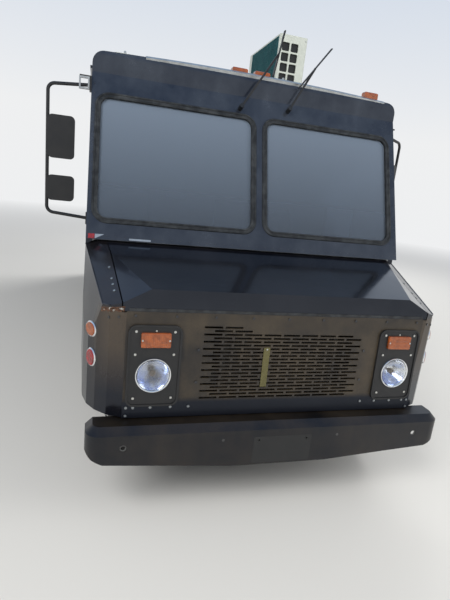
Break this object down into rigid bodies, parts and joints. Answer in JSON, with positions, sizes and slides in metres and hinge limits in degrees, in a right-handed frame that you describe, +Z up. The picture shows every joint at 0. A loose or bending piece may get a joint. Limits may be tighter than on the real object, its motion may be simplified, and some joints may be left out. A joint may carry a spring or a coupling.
{
  "type": "food truck on a walk-in step van",
  "caption": "Walk-in step van food truck with short nose, raked windshield, sliding cab doors, rear doors, serving hatch and roof condenser.",
  "frame": {"origin": "at ground level under the middle of the overall box", "axes": "+X to the vehicle's left, +Y to its rear, +Z up"},
  "size_m": [2.842, 6.7, 3.2799],
  "materials": {
    "black_paint": "gloss enamel, dusty",
    "roof_paint": "weathered aluminium roof sheet",
    "satin_black": "satin black",
    "chassis_black": "matt chassis paint with rust",
    "cast_metal": "rough casting",
    "tyre_rubber": "matt",
    "wheel_paint": "silver enamel",
    "window_glass": "tinted",
    "lamp_glass": "sealed beam with bright reflector and ring",
    "amber_lens": "moulded lens",
    "red_lens": "moulded lens",
    "stainless": "brushed",
    "floor_plate": "tread plate",
    "dash_grey": "grained",
    "seat_vinyl": "vinyl",
    "casing_white": "powder coat",
    "coil_fins": "blue-green coated fins",
    "black_plastic": "moulded",
    "galvanised": "galvanised sheet"
  },
  "bodies": {
    "truck_body": {"amber_lamps": "amber_lens", "chassis_frame": "chassis_black", "condenser_case": "casing_white", "condenser_coil": "coil_fins", "dashboard": "dash_grey", "driveline": "cast_metal", "engine_block": "cast_metal", "engine_cover": "dash_grey", "exhaust_pipe": "galvanised", "exhaust_vent": "galvanised", "floor_panel": "floor_plate", "front_axle": "chassis_black", "front_bumper": "black_paint", "front_cap": "black_paint", "front_panel": "black_paint", "fuel_tank": "chassis_black", "headlamps": "lamp_glass", "kitchen_counters": "stainless", "lamp_bezels": "satin_black", "leaf_springs": "chassis_black", "mirror_left": "satin_black", "mirror_right": "satin_black", "nose_shell": "black_paint", "radiator": "cast_metal", "rear_axle": "chassis_black", "rear_bumper": "black_paint", "rear_wall": "black_paint", "red_lamps": "red_lens", "roof_panel": "roof_paint", "seat_frame": "satin_black", "seat_pads": "seat_vinyl", "side_wall_left": "black_paint", "side_wall_right": "black_paint", "windshields": "window_glass", "wipers": "satin_black"},
    "hood": {"hood": "black_paint"},
    "service_hatch": {"service_hatch": "black_paint"},
    "steering_wheel": {"steering_wheel": "black_plastic"},
    "condenser_fan": {"condenser_fan": "black_plastic"},
    "cab_door_left": {"cab_door_left": "black_paint", "cab_glass_left": "window_glass"},
    "rear_door_left": {"rear_door_left": "black_paint", "rear_glass_left": "window_glass"},
    "knuckle_left": {"knuckle_left": "cast_metal"},
    "front_wheel_left": {"front_tyre_left": "tyre_rubber", "front_rim_left": "wheel_paint"},
    "rear_wheels_left": {"rear_tyres_left": "tyre_rubber", "rear_rims_left": "wheel_paint"},
    "cab_door_right": {"cab_door_right": "black_paint", "cab_glass_right": "window_glass"},
    "rear_door_right": {"rear_door_right": "black_paint", "rear_glass_right": "window_glass"},
    "knuckle_right": {"knuckle_right": "cast_metal"},
    "front_wheel_right": {"front_tyre_right": "tyre_rubber", "front_rim_right": "wheel_paint"},
    "rear_wheels_right": {"rear_tyres_right": "tyre_rubber", "rear_rims_right": "wheel_paint"}
  },
  "joints": [
    {"name": "steer_left", "type": "hinge", "parent": "truck_body", "child": "knuckle_left", "pos_m": [0.74, -2.525, 0.386], "axis": [0, 0, 1], "range_deg": [-30, 30]},
    {"name": "steer_right", "type": "hinge", "parent": "truck_body", "child": "knuckle_right", "pos_m": [-0.74, -2.525, 0.386], "axis": [0, 0, 1], "range_deg": [-30, 30]},
    {"name": "steering_wheel_turn", "type": "hinge", "parent": "truck_body", "child": "steering_wheel", "pos_m": [0.55, -1.925, 1.345], "axis": [0, 0.5736, 0.8192], "range_deg": [-540, 540]},
    {"name": "hood_hinge", "type": "hinge", "parent": "truck_body", "child": "hood", "pos_m": [0, -2.529, 1.449], "axis": [-1, 0, 0], "range_deg": [0, 60]},
    {"name": "service_hatch_hinge", "type": "hinge", "parent": "truck_body", "child": "service_hatch", "pos_m": [-1.157, 0.235, 2.42], "axis": [0, 1, 0], "range_deg": [0, 95]},
    {"name": "condenser_fan_spin", "type": "hinge", "parent": "truck_body", "child": "condenser_fan", "pos_m": [0.66, -0.615, 3.0025], "axis": [1, 0, 0], "continuous": true},
    {"name": "front_wheel_left_spin", "type": "hinge", "parent": "knuckle_left", "child": "front_wheel_left", "pos_m": [0.86, -2.525, 0.386], "axis": [1, 0, 0], "continuous": true},
    {"name": "rear_wheels_left_spin", "type": "hinge", "parent": "truck_body", "child": "rear_wheels_left", "pos_m": [0.85, 1.465, 0.386], "axis": [1, 0, 0], "continuous": true},
    {"name": "cab_door_left_slide", "type": "slide", "parent": "truck_body", "child": "cab_door_left", "axis": [0, 1, 0], "range_m": [0, 0.64]},
    {"name": "rear_door_left_hinge", "type": "hinge", "parent": "truck_body", "child": "rear_door_left", "pos_m": [0.7, 3.187, 1.59], "axis": [0, 0, -1], "range_deg": [0, 170]},
    {"name": "front_wheel_right_spin", "type": "hinge", "parent": "knuckle_right", "child": "front_wheel_right", "pos_m": [-0.86, -2.525, 0.386], "axis": [1, 0, 0], "continuous": true},
    {"name": "rear_wheels_right_spin", "type": "hinge", "parent": "truck_body", "child": "rear_wheels_right", "pos_m": [-0.85, 1.465, 0.386], "axis": [1, 0, 0], "continuous": true},
    {"name": "cab_door_right_slide", "type": "slide", "parent": "truck_body", "child": "cab_door_right", "axis": [0, 1, 0], "range_m": [0, 0.64]},
    {"name": "rear_door_right_hinge", "type": "hinge", "parent": "truck_body", "child": "rear_door_right", "pos_m": [-0.7, 3.187, 1.59], "axis": [0, 0, 1], "range_deg": [0, 170]}
  ],
  "couplings": [
    {"joint": "steer_right", "follows": "steer_left", "ratio": 1},
    {"joint": "steering_wheel_turn", "follows": "steer_left", "ratio": 18}
  ]
}
